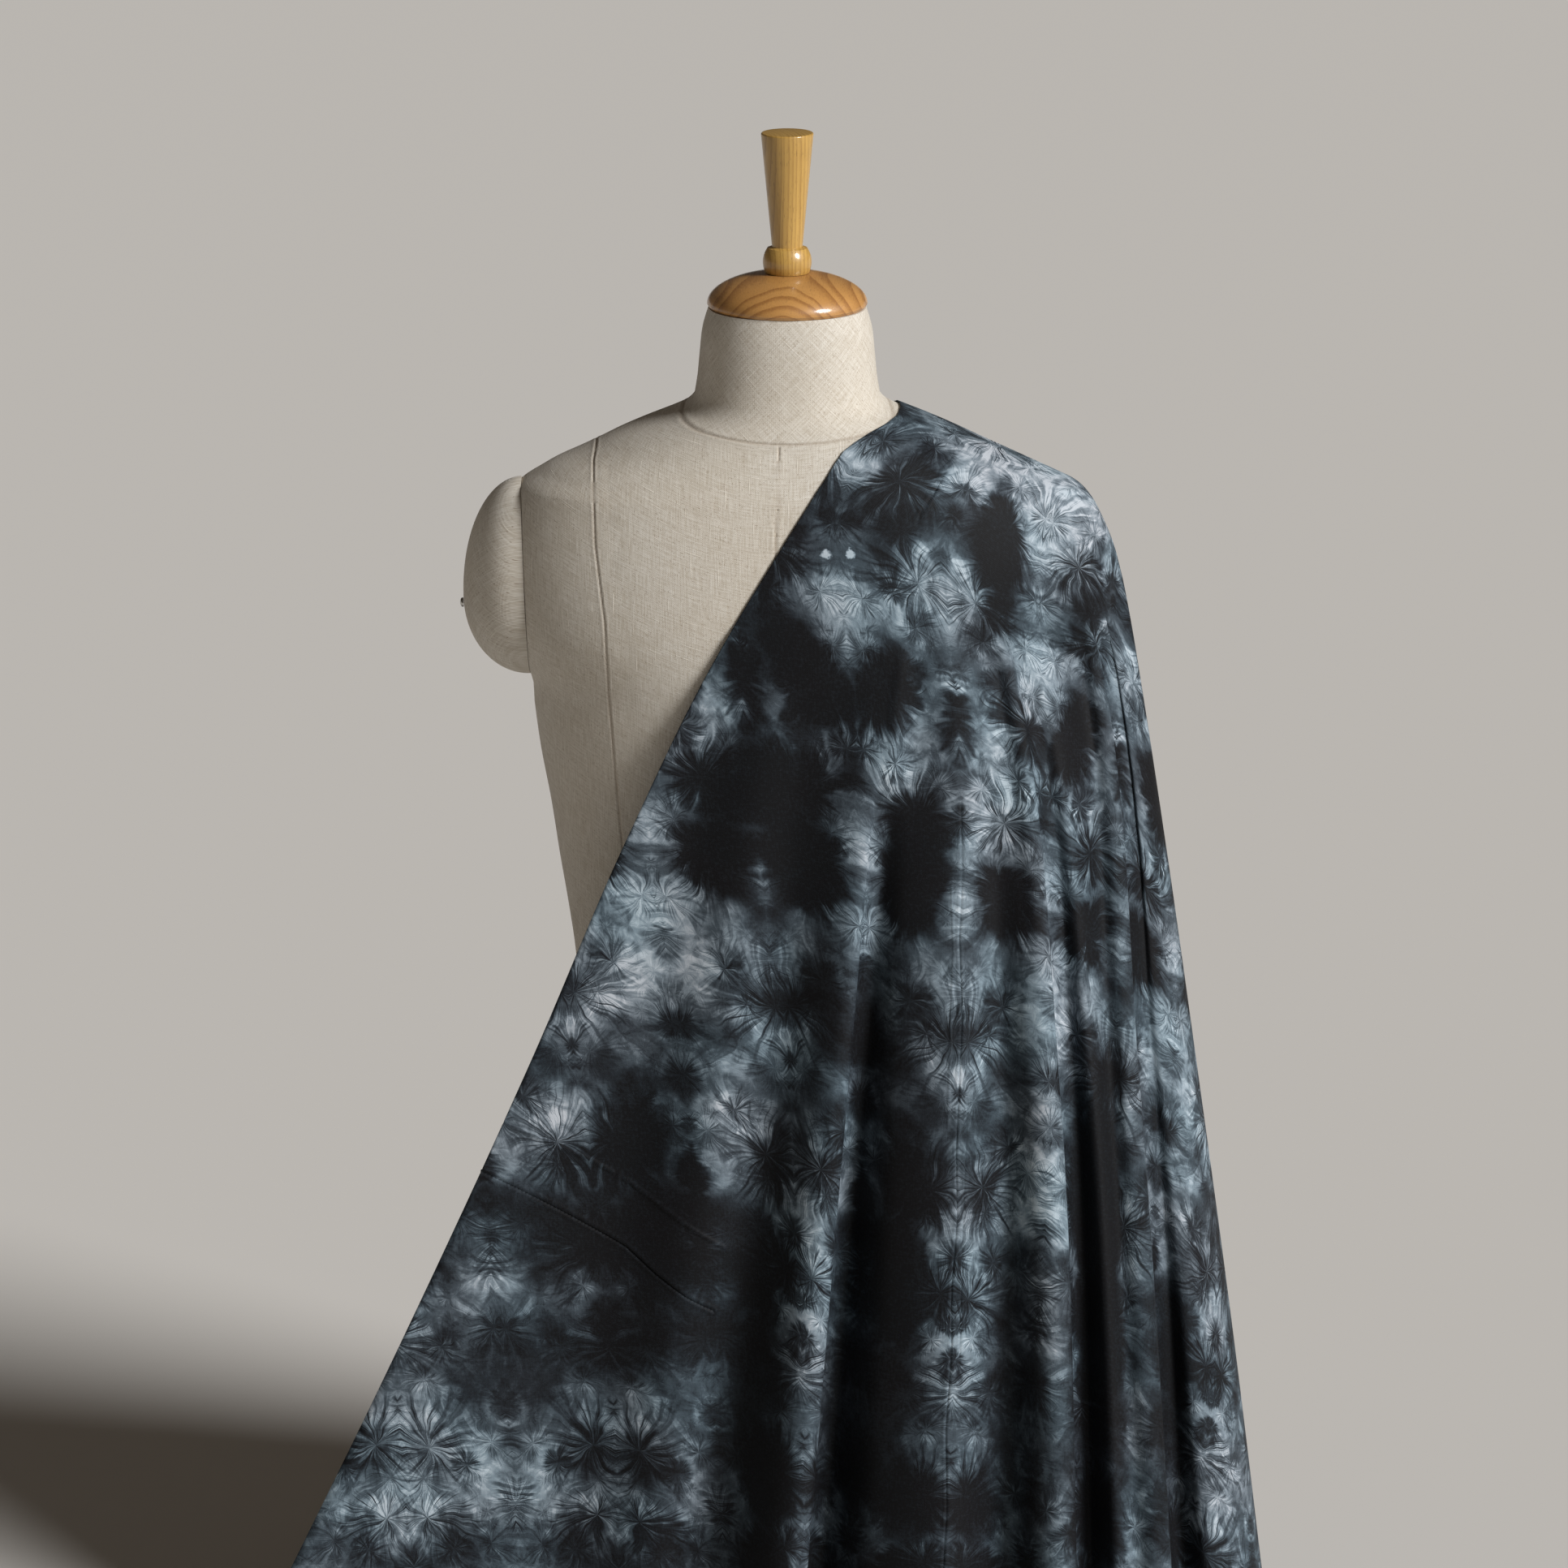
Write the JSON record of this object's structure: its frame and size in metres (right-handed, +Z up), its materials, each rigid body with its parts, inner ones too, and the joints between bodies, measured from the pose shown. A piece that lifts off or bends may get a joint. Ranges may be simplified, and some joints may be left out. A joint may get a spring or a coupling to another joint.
{
  "type": "shibori cotton cloth draped on a dress form",
  "caption": "Ink-dark shibori-dyed cotton cloth hanging in deep folds from one shoulder of a linen-covered dress form on a short stand with a round foot.",
  "frame": {"origin": "middle of the foot's underside, on the surface that it stands on", "axes": "+Z up along the pole and the neck, -Y out of the form's chest, +X towards the shoulder that carries the cloth"},
  "size_m": [0.779, 0.346, 1.14],
  "materials": {
    "ink_cotton": "matt plain-weave cotton, ink-blue with pale crumple-dyed patches",
    "natural_linen": "slubby undyed linen",
    "waxed_wood": "turned and waxed, honey brown",
    "pin_metal": "satin",
    "dark_iron": "satin black"
  },
  "bodies": {
    "root": {"shibori_cloth": "ink_cotton", "form_torso": "natural_linen", "arm_stub_left": "natural_linen", "arm_stub_right": "natural_linen", "arm_pin": "pin_metal", "neck_cap": "waxed_wood", "finial": "waxed_wood", "bottom_board": "waxed_wood", "stand_pole": "dark_iron", "stand_base": "waxed_wood"}
  },
  "joints": []
}
